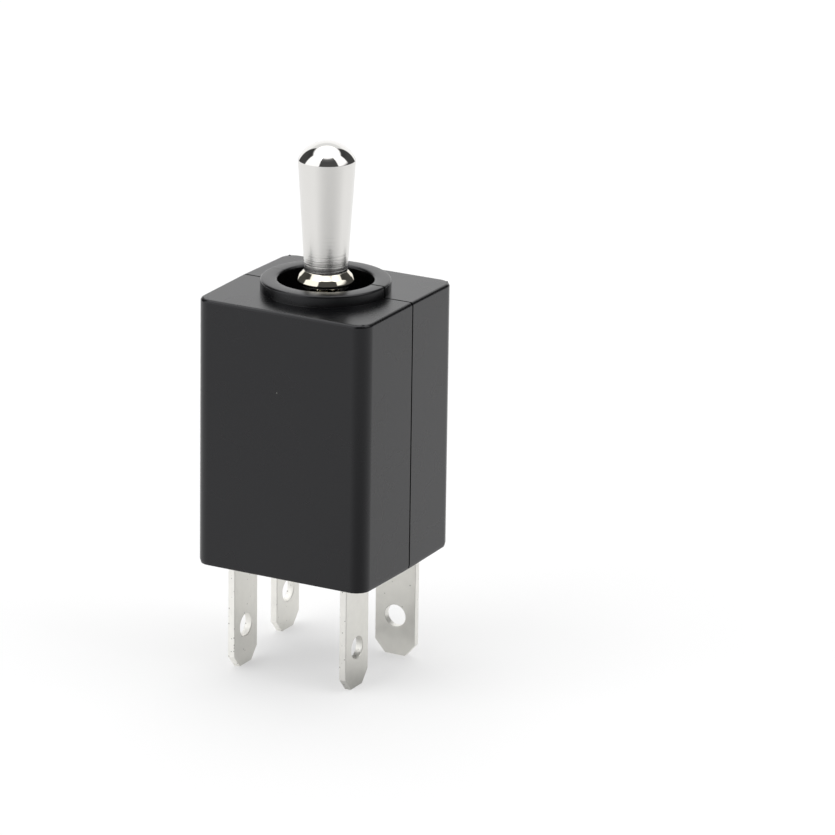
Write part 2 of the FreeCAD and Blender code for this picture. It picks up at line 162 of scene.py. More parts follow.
def put_in_scene(name: str, data: bpy.types.ID) -> bpy.types.Object:
    """Adds an object to the scene.

    Args:
        name: its name.
        data: its mesh or camera.

    Returns:
        The object.
    """
    item = bpy.data.objects.new(name, data)
    bpy.context.scene.collection.objects.link(item)
    return item


class Form:
    """A closed shape in the making, worked with mesh operators."""

    def __init__(self) -> None:
        """Starts with an empty mesh."""
        self.mesh = bmesh.new()

    def block(self, low: Vector, high: Vector) -> "Form":
        """Adds a box between two corners.

        Args:
            low: lowest corner.
            high: highest corner.

        Returns:
            This form.
        """
        made = bmesh.ops.create_cube(self.mesh, size=1.0)["verts"]
        bmesh.ops.scale(self.mesh, vec=high - low, verts=made)
        bmesh.ops.translate(self.mesh, vec=(low + high) / 2, verts=made)
        return self

    def rod(self, radius: float, x: float, height: float, start: float, end: float) -> "Form":
        """Adds a round bar along Y.

        Args:
            radius: radius of the bar.
            x: place of its axis along X.
            height: height of its axis.
            start: Y of its first end.
            end: Y of the other.

        Returns:
            This form.
        """
        turn = Vector((0, end - start, 0)).to_track_quat("Z", "Y").to_matrix().to_4x4()
        bmesh.ops.create_cone(self.mesh, cap_ends=True, segments=48, radius1=radius, radius2=radius,
                              depth=abs(end - start),
                              matrix=Matrix.Translation((x, (start + end) / 2, height)) @ turn)
        return self

    def turn_profile(self, path: list[Vector], steps: int) -> "Form":
        """Spins a profile in the XZ plane once round Z.

        Args:
            path: points of the profile in order.
            steps: faces round the axis.

        Returns:
            This form.
        """
        points = [self.mesh.verts.new(place) for place in path]
        chords = [self.mesh.edges.new(pair) for pair in zip(points, points[1:])]
        bmesh.ops.spin(self.mesh, geom=points + chords, cent=(0, 0, 0), axis=(0, 0, 1), dvec=(0, 0, 0),
                       angle=math.tau, steps=steps, use_merge=True, use_duplicate=False)
        return self.weld()

    def edges(self, test: Callable[[Vector], bool]) -> list[BMEdge]:
        """Edges whose two ends both pass a test of place."""
        return [edge for edge in self.mesh.edges if all(test(vert.co) for vert in edge.verts)]

    def faces(self, test: Callable[[Vector], bool]) -> list[BMFace]:
        """Faces whose corners all pass a test of place."""
        return [face for face in self.mesh.faces if all(test(vert.co) for vert in face.verts)]

    def upright_edges(self) -> list[BMEdge]:
        """Edges that run along Z."""
        return [edge for edge in self.mesh.edges
                if (edge.verts[0].co - edge.verts[1].co).xy.length < TOUCH]

    def round_off(self, edges: Iterable[BMEdge], radius: float, segments: int) -> "Form":
        """Rounds edges by a radius, with a number of faces across each rounding."""
        bmesh.ops.bevel(self.mesh, geom=list(edges), offset=radius, offset_type="OFFSET", segments=segments,
                        profile=0.5, affect="EDGES", material=-1, clamp_overlap=False, loop_slide=False)
        return self

    def drop(self, faces: Iterable[BMFace]) -> None:
        """Deletes those of the faces that are still there."""
        left = [face for face in faces if face.is_valid]
        bmesh.ops.delete(self.mesh, geom=left, context="FACES_ONLY")

    def pull(self, faces: list[BMFace], reach: Vector, keep: bool = False) -> None:
        """Extrudes faces by a vector, and can keep the first ones where they were."""
        made = bmesh.ops.extrude_face_region(self.mesh, geom=faces, use_keep_orig=keep)["geom"]
        bmesh.ops.translate(self.mesh, vec=reach, verts=[item for item in made if isinstance(item, BMVert)])

    def open_levels(self, *levels: float) -> None:
        """Takes out the flat faces that lie at given heights."""
        for level in levels:
            self.drop(self.faces(lambda place: abs(place.z - level) < TOUCH))

    def fill_level(self, level: float) -> None:
        """Fills the flat area between the open loops at a height."""
        rims = [edge for edge in self.edges(lambda place: abs(place.z - level) < TOUCH) if edge.is_boundary]
        bmesh.ops.triangle_fill(self.mesh, edges=rims, use_beauty=True)

    def add(self, *others: "Form") -> "Form":
        """Takes in the meshes of other forms, unjoined.

        Args:
            others: the forms to take in.

        Returns:
            This form.
        """
        for other in others:
            mesh = other.to_mesh()
            self.mesh.from_mesh(mesh)
            bpy.data.meshes.remove(mesh)
        return self

    def weld(self) -> "Form":
        """Merges points that coincide and turns all faces outwards.

        Returns:
            This form.
        """
        bmesh.ops.remove_doubles(self.mesh, verts=self.mesh.verts[:], dist=TOUCH)
        bmesh.ops.recalc_face_normals(self.mesh, faces=self.mesh.faces[:])
        return self

    def move(self, matrix: Matrix) -> "Form":
        """Moves the whole form."""
        bmesh.ops.transform(self.mesh, matrix=matrix, verts=self.mesh.verts[:])
        return self

    def carve(self, way: Carve, *others: "Form") -> "Form":
        """Joins other forms to this one, or cuts them out, one after the other.

        Args:
            way: which of the two.
            others: the forms to join or cut.

        Returns:
            This form.
        """
        for other in others:
            body = put_in_scene("carve_body", self.to_mesh())
            tool = put_in_scene("carve_tool", other.to_mesh())
            step = body.modifiers.new("carve", "BOOLEAN")
            step.object, step.operation, step.solver = tool, way.value, "EXACT"
            graph = bpy.context.evaluated_depsgraph_get()
            result = bpy.data.meshes.new_from_object(body.evaluated_get(graph), depsgraph=graph)
            self.mesh.clear()
            self.mesh.from_mesh(result)
            for mesh in (result, body.data, tool.data):
                bpy.data.meshes.remove(mesh)
        return self

    def to_mesh(self, name: str = "form") -> bpy.types.Mesh:
        """Copies the form into a new mesh with a name.

        Args:
            name: the name.

        Returns:
            The mesh.
        """
        mesh = bpy.data.meshes.new(name)
        self.mesh.to_mesh(mesh)
        return mesh


def make_piece(name: str, form: Form, finishes: list[bpy.types.Material], body: Body,
               stands_for: Iterable[str], smooth_below: float = SMOOTH_BELOW) -> None:
    """Turns a form into a finished piece of the switch.

    Args:
        name: name of the piece.
        form: its shape, in place.
        finishes: its materials, in the order of the faces' material numbers.
        body: the body it rides on.
        stands_for: solids that it replaces.
        smooth_below: largest angle between two faces that still look like one.
    """
    mesh = form.to_mesh(name)
    form.mesh.free()
    mesh.shade_smooth()
    mesh.set_sharp_from_angle(angle=smooth_below)
    for finish in finishes:
        mesh.materials.append(finish)
    piece = put_in_scene(name, mesh)
    weighting = piece.modifiers.new("flat faces stay flat", "WEIGHTED_NORMAL")
    weighting.keep_sharp = True
    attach(piece, body.value)
    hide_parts(*stands_for)
    LOG.info("%s: %d faces, on %s", name, len(mesh.polygons), body.value)


# Finishes


class Signal:
    """An output socket that takes part in arithmetic."""

    def __init__(self, bench: "Bench", socket: bpy.types.NodeSocket) -> None:
        """Wraps an output socket of the bench's node tree."""
        self.bench = bench
        self.socket = socket

    def __add__(self, other: "Signal | float") -> "Signal":
        """Sum."""
        return self.bench.calculate("ADD", self, other)

    __radd__ = __add__

    def __sub__(self, other: "Signal | float") -> "Signal":
        """Difference."""
        return self.bench.calculate("SUBTRACT", self, other)

    def __rsub__(self, other: "Signal | float") -> "Signal":
        """Difference from a number."""
        return self.bench.calculate("SUBTRACT", other, self)

    def __mul__(self, other: "Signal | float") -> "Signal":
        """Product."""
        return self.bench.calculate("MULTIPLY", self, other)

    __rmul__ = __mul__

    def __or__(self, other: "Signal | float") -> "Signal":
        """The larger of the two, for joining masks."""
        return self.bench.calculate("MAXIMUM", self, other)

    def above(self, level: float, softness: float) -> "Signal":
        """Mask that rises from 0 to 1 round a level, over a width of softness."""
        ends = {"Value": self, "From Min": level - softness / 2, "From Max": level + softness / 2}
        return self.bench.signal("ShaderNodeMapRange", ends, "Result", interpolation_type="SMOOTHSTEP")

    def below(self, level: float, softness: float) -> "Signal":
        """Mask that falls from 1 to 0 round a level, over a width of softness."""
        return 1.0 - self.above(level, softness)

    def between(self, low: float, high: float, softness: float) -> "Signal":
        """Mask that is 1 from one level to another, with soft ends."""
        return self.above(low, softness) * self.below(high, softness)


class Bench:
    """A node tree, built from one kind of call."""

    def __init__(self, tree: bpy.types.NodeTree) -> None:
        """Empties a node tree to build in."""
        self.tree = tree
        tree.nodes.clear()

    def add(self, kind: str, sockets: dict | None = None, **settings: str) -> bpy.types.Node:
        """Adds a node.

        Args:
            kind: the node's type.
            sockets: values or signals for its inputs, by name or number.
            settings: its own settings, which are set first.

        Returns:
            The node.
        """
        node = self.tree.nodes.new(kind)
        for name, value in settings.items():
            setattr(node, name, value)
        for key, value in (sockets or {}).items():
            if isinstance(value, Signal):
                self.tree.links.new(value.socket, node.inputs[key])
            elif isinstance(value, tuple) and len(value) == 3 and node.inputs[key].type == "RGBA":
                node.inputs[key].default_value = (*value, 1.0)
            else:
                node.inputs[key].default_value = value
        return node

    def read(self, node: bpy.types.Node, output: str | int = 0) -> Signal:
        """Output of a node, by name or number, as a signal."""
        return Signal(self, node.outputs[output])

    def signal(self, kind: str, sockets: dict | None = None, output: str | int = 0,
               **settings: str) -> Signal:
        """Adds a node as add does, and gives one of its outputs."""
        return self.read(self.add(kind, sockets, **settings), output)

    def calculate(self, operation: str, *operands: "Signal | float") -> Signal:
        """Adds a Math node on its operands."""
        return self.signal("ShaderNodeMath", dict(enumerate(operands)), operation=operation)

    def place(self, stretch: Vector = Vector((1, 1, 1))) -> Signal:
        """Position on the object as a vector, in metres, with each axis scaled."""
        sockets = {"Vector": self.signal("ShaderNodeTexCoord", output="Object"), "Scale": stretch}
        return self.signal("ShaderNodeMapping", sockets, vector_type="POINT")

    def axes(self, vector: Signal) -> tuple[Signal, Signal, Signal]:
        """X, Y and Z of a vector."""
        node = self.add("ShaderNodeSeparateXYZ", {"Vector": vector})
        return tuple(self.read(node, axis) for axis in "XYZ")

    def noise(self, size: float, detail: float = 2.0, stretch: Vector = Vector((1, 1, 1))) -> Signal:
        """Cloudy noise from 0 to 1, by size of blotch, number of finer layers and scale of each axis."""
        sockets = {"Vector": self.place(stretch), "Scale": 1 / size, "Detail": detail}
        return self.signal("ShaderNodeTexNoise", sockets, "Fac")

    def specks(self, spacing: float, radius: float, share: float) -> Signal:
        """Mask of a few scattered specks.

        Args:
            spacing: size of the cells that hold one speck at most.
            radius: radius of a speck.
            share: share of the cells that hold one.

        Returns:
            The mask.
        """
        sockets = {"Vector": self.place(), "Scale": 1 / spacing, "Randomness": 0.9}
        cells = self.add("ShaderNodeTexVoronoi", sockets, feature="F1")
        draw = self.signal("ShaderNodeSeparateColor", {"Color": self.read(cells, "Color")}, "Red")
        chosen = draw.above(1 - share, 0.01)
        return self.read(cells, "Distance").below(radius / spacing, radius / spacing) * chosen

    def blend(self, share: "Signal | float", first: "Signal | Colour", second: "Signal | Colour") -> Signal:
        """Mixes two colours by the second one's share."""
        return self.signal("ShaderNodeMix", {0: share, 6: first, 7: second}, 2, data_type="RGBA")

    def relief(self, height: Signal, depth: float, under: Signal | None = None) -> Signal:
        """Normal bent by a height pattern.

        Args:
            height: pattern from 0 to 1.
            depth: real height of the pattern.
            under: normal that is bent already, if there is one.

        Returns:
            The normal.
        """
        sockets = {"Strength": 1.0, "Distance": depth, "Height": height}
        if under is not None:
            sockets["Normal"] = under
        return self.signal("ShaderNodeBump", sockets)


def new_material(name: str) -> tuple[bpy.types.Material, Bench]:
    """Makes an empty material.

    Args:
        name: its name.

    Returns:
        The material and the bench for its nodes.
    """
    material = bpy.data.materials.new(name)
    material.use_nodes = True
    return material, Bench(material.node_tree)


@dataclass(frozen=True)
class Finish:
    """What every finish of the switch has.

    Args:
        name: name of the material.
        colour: base colour, linear.
        roughness: mean roughness.
    """

    name: str
    colour: Colour
    roughness: float

    def surface(self, bench: Bench, sockets: dict) -> None:
        """Ends a node tree in one surface shader with the given inputs."""
        shader = bench.signal("ShaderNodeBsdfPrincipled", sockets)
        bench.add("ShaderNodeOutputMaterial", {"Surface": shader})

    def tones(self, darker: float, lighter: float) -> tuple[Colour, Colour]:
        """The finish's colour times two factors."""
        return tuple(part * darker for part in self.colour), tuple(part * lighter for part in self.colour)


@dataclass(frozen=True)
class MouldedPlastic(Finish):
    """Plastic with the fine grain of its mould.

    Args:
        grain_size: size of the grain.
        grain_depth: height of the grain.
        dust: share of small cells that hold a speck of dust.
        dust_colour: colour of the dust.
    """

    grain_size: float = 0.12 * MM
    grain_depth: float = 0.001 * MM
    dust: float = 0.03
    dust_colour: Colour = (0.16, 0.16, 0.15)

    def build(self) -> bpy.types.Material:
        """Makes the material.

        Returns:
            The material.
        """
        material, bench = new_material(self.name)
        cloud = bench.noise(size=9 * MM, detail=3.0)
        specks = bench.specks(spacing=2.2 * MM, radius=0.06 * MM, share=self.dust)
        grain = bench.relief(bench.noise(self.grain_size), self.grain_depth)
        colour = bench.blend(cloud, *self.tones(darker=0.85, lighter=1.15))
        self.surface(bench, {
            "Base Color": bench.blend(specks, colour, self.dust_colour),
            "Roughness": self.roughness + 0.08 * (cloud - 0.5) + 0.3 * specks,
            "IOR": 1.45,
            "Specular Tint": (0.965, 0.965, 1.0, 1.0),
            "Normal": bench.relief(bench.noise(size=14 * MM, detail=1.0), depth=0.02 * MM, under=grain),
        })
        return material


@dataclass(frozen=True)
class PlatedLever(Finish):
    """Nickel plate: polished on the dome and bead, satin with turning marks between them.

    Args:
        satin_roughness: what the turned shaft adds to the roughness.
        rim_height: height of the dome's rim.
        neck_height: height of the bead's upper end.
        marks_height: height below which the turning marks grow deep.
        marks_fade: length over which they do.
        marks_depth: height of the marks.
        warmth: tint of the bead's plate.
    """

    satin_roughness: float = 0.17
    rim_height: float = 13.72 * MM
    neck_height: float = 2.1 * MM
    marks_height: float = 3.4 * MM
    marks_fade: float = 2.4 * MM
    marks_depth: float = 0.006 * MM
    warmth: Colour = (1.02, 0.98, 0.87)

    def build(self) -> bpy.types.Material:
        """Makes the material.

        Returns:
            The material.
        """
        material, bench = new_material(self.name)
        height = bench.axes(bench.place())[2]
        dome = height.above(self.rim_height, softness=0.02 * MM)
        bead = height.below(self.neck_height, softness=0.1 * MM)
        satin = 1.0 - (dome | bead)
        low = height.below(self.marks_height, self.marks_fade)
        around = Vector((0.02, 0.02, 1.0))
        turned = bench.noise(size=0.22 * MM, detail=1.0, stretch=around)
        hairlines = bench.noise(size=0.07 * MM, detail=0.0, stretch=around)
        rings = (turned * (0.2 + 2.4 * low) + hairlines * (0.5 + 0.9 * low)) * satin
        chatter = bench.noise(size=0.3 * MM, detail=0.0, stretch=Vector((0.5, 0.5, 1.0)))
        marks = chatter.above(0.56, softness=0.12) * low * satin
        cloud = bench.noise(size=1.4 * MM, detail=3.0, stretch=Vector((1.0, 1.0, 0.4)))
        warm = tuple(part * tint for part, tint in zip(self.colour, self.warmth))
        dull = tuple(part * 0.8 for part in self.colour)
        self.surface(bench, {
            "Base Color": bench.blend(marks * 0.6, bench.blend(bead, self.colour, warm), dull),
            "Metallic": 1.0,
            "Roughness": self.roughness + satin * (self.satin_roughness + 0.1 * (cloud - 0.5)),
            "Normal": bench.relief(rings, self.marks_depth),
        })
        return material


@dataclass(frozen=True)
class TinPlate(Finish):
    """Satin tin over rolled or sheared strip.

    Args:
        grain_depth: height of the rolling grain.
        grain_stretch: scale of the grain along each axis.
        pits: share of small cells that hold a dark pit.
        pit_colour: colour of a pit.
    """

    grain_depth: float = 0.002 * MM
    grain_stretch: Vector = field(default_factory=lambda: Vector((1.0, 1.0, 0.15)))
    pits: float = 0.02
    pit_colour: Colour = (0.25, 0.24, 0.22)

    def build(self) -> bpy.types.Material:
        """Makes the material.

        Returns:
            The material.
        """
        material, bench = new_material(self.name)
        cloud = bench.noise(size=1.1 * MM, detail=4.0)
        grain = bench.noise(size=0.14 * MM, stretch=self.grain_stretch)
        specks = bench.specks(spacing=0.3 * MM, radius=0.07 * MM, share=self.pits)
        colour = bench.blend(cloud, *self.tones(darker=0.9, lighter=1.06))
        self.surface(bench, {
            "Base Color": bench.blend(specks * 0.8, colour, self.pit_colour),
            "Metallic": 1.0,
            "Roughness": self.roughness + 0.14 * (cloud - 0.5) + 0.1 * (grain - 0.5),
            "Normal": bench.relief(grain, self.grain_depth),
        })
        return material


@dataclass(frozen=True)
class WorkedMetal(Finish):
    """Ground, drawn or rolled metal inside the case.

    Args:
        lines: scale of the tool marks along each axis, larger across the marks.
        lines_depth: height of the tool marks.
    """

    lines: Vector = field(default_factory=lambda: Vector((1.0, 0.1, 1.0)))
    lines_depth: float = 0.0015 * MM

    def build(self) -> bpy.types.Material:
        """Makes the material.

        Returns:
            The material.
        """
        material, bench = new_material(self.name)
        marks = bench.noise(size=0.12 * MM, detail=3.0, stretch=self.lines)
        cloud = bench.noise(size=0.9 * MM)
        self.surface(bench, {
            "Base Color": bench.blend(cloud, *self.tones(darker=0.88, lighter=1.06)),
            "Metallic": 1.0,
            "Roughness": self.roughness + 0.15 * (marks - 0.5),
            "Normal": bench.relief(marks, self.lines_depth),
        })
        return material


class Finishes:
    """All the materials of the switch, each made once."""

    def __init__(self) -> None:
        """Makes the materials."""
        even = Vector((1.0, 1.0, 1.0))
        made = {
            Slot.CASE: MouldedPlastic("satin_black_case", (0.0028, 0.0029, 0.0034), 0.27),
            Slot.BASE: MouldedPlastic("satin_black_base", (0.012, 0.011, 0.0105), 0.42, dust=0.0),
            Slot.LEVER: PlatedLever("nickel_lever", (0.74, 0.73, 0.71), 0.05),
            Slot.BLADE: TinPlate("tin_face", (0.77, 0.76, 0.715), 0.34),
            Slot.PIN: WorkedMetal("ground_steel", (0.56, 0.56, 0.55), 0.25),
            Slot.SPRING: WorkedMetal("spring_steel", (0.42, 0.42, 0.43), 0.32, lines=even),
            Slot.BRONZE: WorkedMetal("rolled_bronze", (0.70, 0.42, 0.20), 0.3),
            Slot.SILVER: WorkedMetal("silver_button", (0.88, 0.87, 0.84), 0.28, lines=even),
            Slot.NYLON: MouldedPlastic("natural_nylon", (0.62, 0.58, 0.48), 0.45, dust=0.0),
        }
        self.by_slot = {slot: finish.build() for slot, finish in made.items()}
        self.sheared = TinPlate("tin_sheared_edge", (0.93, 0.92, 0.88), 0.5, grain_depth=0.012 * MM,
                                grain_stretch=Vector((1.0, 1.0, 0.4)), pits=0.25).build()


# Sub-assemblies


@dataclass
class Case:
    """The black case: two mouldings that meet at the parting plane, with the collar and cup.

    Args:
        corner_radius: rounding of the upright edges.
        top_radius: rounding of the top edge.
        foot_inset: how far the bottom edge is cut back.
        foot_rise: height of that cut.
        wall: thickness of the side walls.
        top_wall: thickness of the top.
        room_radius: rounding of the inner upright corners.
        collar_outer: outer radius of the collar.
        collar_inner: inner radius of the collar and cup.
        collar_height: height of the collar above the top face.
        collar_rim: rounding of the collar's outer rim.
        collar_lip: rounding of the collar's inner rim.
        collar_root: fillet between the collar and the top face.
        cup_depth: depth of the cup's floor below the top face.
        cup_wall: thickness of the cup's wall and floor.
        slot_half_x: half length of the lever's slot.
        slot_half_y: half width of the lever's slot.
        slot_flat: half length of the flats at the slot's two ends.
        seam_width: width of the line between the two mouldings.
        seam_depth: depth of that line.
        seam_gap: space between the two mouldings inside the line.
        seam_closed: share of the line that is closed on the collar's left side.
        bead_groove_depth: depth of the groove that holds the base's bead.
        bead_groove_low: lower side of that groove, below the top face.
        bead_groove_high: its upper side.
        hub_clear: nearest that the pin's ribs come to the lever's axis.
        cheek_half: half width of a rib round the pin.
        pin_height: height of the lever's pin.
        pin_hole_radius: radius of the pin's seats.
        pin_hole_reach: depth of the seats from the middle.
        boss_radius: radius of the bosses round the pegs.
        boss_x: how far they stand to each side.
        boss_height: their height.
        peg_radius: radius of the pegs.
        peg_length: how far a peg runs past the parting plane.
        peg_clearance: room round a peg.
        draft: lean of the outside for the mould, radians.
    """

    corner_radius: float = 1.6 * MM
    top_radius: float = 0.35 * MM
    foot_inset: float = 0.1 * MM
    foot_rise: float = 0.4 * MM
    wall: float = 1.0 * MM
    top_wall: float = 1.6 * MM
    room_radius: float = 1.0 * MM
    collar_outer: float = 6.73 * MM
    collar_inner: float = 4.95 * MM
    collar_height: float = 1.2 * MM
    collar_rim: float = 0.24 * MM
    collar_lip: float = 0.3 * MM
    collar_root: float = 0.015 * MM
    cup_depth: float = 2.8 * MM
    cup_wall: float = 1.2 * MM
    slot_half_x: float = 2.93 * MM
    slot_half_y: float = 2.05 * MM
    slot_flat: float = 0.05 * MM
    seam_width: float = 0.22 * MM
    seam_depth: float = 0.16 * MM
    seam_gap: float = 0.01 * MM
    seam_closed: float = 0.9
    bead_groove_depth: float = 0.4 * MM
    bead_groove_low: float = 27.1 * MM
    bead_groove_high: float = 26.5 * MM
    hub_clear: float = 2.8 * MM
    cheek_half: float = 2.0 * MM
    pin_height: float = -6.4 * MM
    pin_hole_radius: float = 0.82 * MM
    pin_hole_reach: float = 7.97 * MM
    boss_radius: float = 1.3 * MM
    boss_x: float = 7.0 * MM
    boss_height: float = -5.6 * MM
    peg_radius: float = 0.75 * MM
    peg_length: float = 1.5 * MM
    peg_clearance: float = 0.06 * MM
    draft: float = 0.5 * DEGREE

    def __post_init__(self) -> None:
        """Reads the case's overall size and parting plane from the frame."""
        low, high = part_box("front_shell")
        self.half_width, self.half_depth, self.foot = high.x, -low.y, low.z
        self.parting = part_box("rear_shell")[0].y

    def tube(self, half_x: float, half_y: float, radius: float, low: float, high: float) -> Form:
        """Open upright tube with a rounded rectangle for its section.

        Args:
            half_x: half width.
            half_y: half depth.
            radius: rounding of its corners.
            low: height of its lower end.
            high: height of its upper end.

        Returns:
            The tube's walls.
        """
        form = Form().block(Vector((-half_x, -half_y, low)), Vector((half_x, half_y, high)))
        form.round_off(form.upright_edges(), radius, segments=10).open_levels(low, high)
        return form

    def outside(self) -> Form:
        """Outer walls with rounded edges, open above and below.

        Returns:
            The walls.
        """
        form = Form().block(Vector((-self.half_width, -self.half_depth, self.foot)),
                            Vector((self.half_width, self.half_depth, 0.0)))
        form.round_off(form.upright_edges(), self.corner_radius, segments=12)
        form.round_off(form.edges(lambda place: place.z > -TOUCH), self.top_radius, segments=8)
        form.round_off(form.edges(lambda place: place.z < self.foot + TOUCH), self.foot_inset, segments=1)
        for vert in form.mesh.verts:
            if abs(vert.co.z - self.foot - self.foot_inset) < TOUCH:
                vert.co.z = self.foot + self.foot_rise
        form.open_levels(0.0, self.foot)
        return form

    def throat(self) -> Form:
        """Collar and cup, turned, from the top face down to the cup's floor.

        Returns:
            Their walls.
        """
        corners = [
            Corner(self.collar_outer + 2 * self.collar_root, 0.0),
            Corner(self.collar_outer, 0.0, self.collar_root),
            Corner(self.collar_outer, self.collar_height, self.collar_rim),
            Corner(self.collar_inner, self.collar_height, self.collar_lip),
            Corner(self.collar_inner, -self.cup_depth, self.collar_lip),
            Corner(self.slot_half_x + self.cup_wall, -self.cup_depth),
        ]
        return Form().turn_profile(rounded_path(corners, steps=5), steps=144)

    def slot(self) -> Form:
        """Walls of the long slot that the lever passes through."""
        return self.tube(self.slot_half_x, self.slot_half_y, self.slot_half_y - self.slot_flat,
                         -self.cup_depth - self.cup_wall, -self.cup_depth)

    def cup_outside(self) -> Form:
        """Outer wall of the cup, under the top.

        Returns:
            The wall.
        """
        radius = self.collar_inner + self.cup_wall
        ends = [Vector((radius, 0.0, -self.top_wall)), Vector((radius, 0.0, -self.cup_depth - self.cup_wall))]
        return Form().turn_profile(ends, steps=96)

    def room(self) -> list[Form]:
        """Inner walls in three lengths: below, at and above the groove for the base's bead.

        Returns:
            The three lengths.
        """
        half_x, half_y = self.half_width - self.wall, self.half_depth - self.wall
        deep = self.bead_groove_depth
        low, high = -self.bead_groove_low, -self.bead_groove_high
        return [
            self.tube(half_x, half_y, self.room_radius, self.foot, low),
            self.tube(half_x + deep, half_y + deep, self.room_radius + deep, low, high),
            self.tube(half_x, half_y, self.room_radius, high, -self.top_wall),
        ]

    def skin(self) -> Form:
        """The whole closed case in one skin, before it is parted.

        Returns:
            The skin.
        """
        form = Form().add(self.outside(), self.throat(), self.slot(), self.cup_outside(), *self.room())
        for level in (0.0, -self.cup_depth, -self.cup_depth - self.cup_wall, -self.top_wall,
                      -self.bead_groove_low, -self.bead_groove_high, self.foot):
            form.fill_level(level)
        return form.weld()

    def part(self, form: Form, half: Half) -> Form:
        """Keeps one half of the skin and closes it with a stepped lip.

        Args:
            form: the whole skin.
            half: the half to keep.

        Returns:
            The half shell.
        """
        mesh = form.mesh
        side = half.value
        cut = self.parting + side * self.seam_width / 2
        everything = mesh.verts[:] + mesh.edges[:] + mesh.faces[:]
        bmesh.ops.bisect_plane(mesh, geom=everything, plane_co=(0, cut, 0), plane_no=(0, -side, 0),
                               clear_outer=True, dist=TOUCH)
        rims = [edge for edge in mesh.edges if edge.is_boundary]
        caps = bmesh.ops.holes_fill(mesh, edges=rims, sides=0)["faces"]
        form.weld()
        bmesh.ops.inset_region(mesh, faces=caps, thickness=self.seam_depth, depth=0.0, use_boundary=True,
                               use_even_offset=True)
        lip = self.seam_width / 2 - self.seam_gap
        for vert in mesh.verts:
            if abs(vert.co.y - cut) < TOUCH and vert.co.x < 0 and vert.co.z > self.collar_root:
                vert.co.y -= side * lip * self.seam_closed
        form.pull(caps, Vector((0, -side * lip, 0)))
        form.drop(caps)
        return self.lean(form.weld())

    def lean(self, form: Form) -> Form:
        """Leans the outer walls, the top and the foot inwards away from the parting plane.

        Args:
            form: one half shell.

        Returns:
            The same form.
        """
        groove_x = self.half_width - self.wall + self.bead_groove_depth + TOUCH
        groove_y = self.half_depth - self.wall + self.bead_groove_depth + TOUCH
        for vert in form.mesh.verts:
            place = vert.co
            drop = math.tan(self.draft) * abs(place.y - self.parting)
            outside = abs(place.x) > groove_x or abs(place.y) > groove_y
            if outside:
                place.x *= 1 - drop / self.half_width
            if outside and place.z > -self.top_radius - TOUCH or abs(place.z) < TOUCH:
                place.z -= drop
            if place.z < self.foot + self.foot_rise + TOUCH:
                place.z += drop
        return form

    def bosses(self, half: Half) -> list[Form]:
        """Ribs round the lever's pin and bosses round the pegs, on the inside.

        Args:
            half: the moulding they belong to.

        Returns:
            The cheek and the two bosses.
        """
        side = half.value
        near, wall = side * self.hub_clear, side * (self.half_depth - self.wall / 2)
        low = Vector((-self.cheek_half, min(near, wall), self.pin_height))
        high = Vector((self.cheek_half, max(near, wall), -self.cup_depth - self.cup_wall / 2))
        return [Form().block(low, high), Form().rod(self.cheek_half, 0, self.pin_height, near, wall),
                *self.bars(self.boss_radius, self.parting + side * self.seam_gap, wall)]

    def bars(self, radius: float, start: float, end: float) -> list[Form]:
        """Two round bars along Y where the mouldings locate each other."""
        return [Form().rod(radius, x, self.boss_height, start, end) for x in (-self.boss_x, self.boss_x)]

    def shell(self, half: Half) -> Form:
        """One finished moulding, with pegs on the front one and their sockets in the rear one.

        Args:
            half: which one.

        Returns:
            Its form.
        """
        reach, room = self.pin_hole_reach, self.peg_clearance
        pin_hole = Form().rod(self.pin_hole_radius, 0, self.pin_height, -reach, reach)
        form = self.part(self.skin(), half).carve(Carve.JOIN, *self.bosses(half)).carve(Carve.CUT, pin_hole)
        start, end = self.parting - self.peg_length, self.parting + self.peg_length
        if half is Half.FRONT:
            return form.carve(Carve.JOIN, *self.bars(self.peg_radius, start, end))
        return form.carve(Carve.CUT, *self.bars(self.peg_radius + room, start, end + 2 * room))

    def build(self, finishes: Finishes) -> None:
        """Makes both mouldings."""
        for half, node in ((Half.FRONT, "front_shell"), (Half.REAR, "rear_shell")):
            make_piece(node.replace("shell", "moulding"), self.shell(half), [finishes.by_slot[Slot.CASE]],
                       Body.HOUSING, [node])


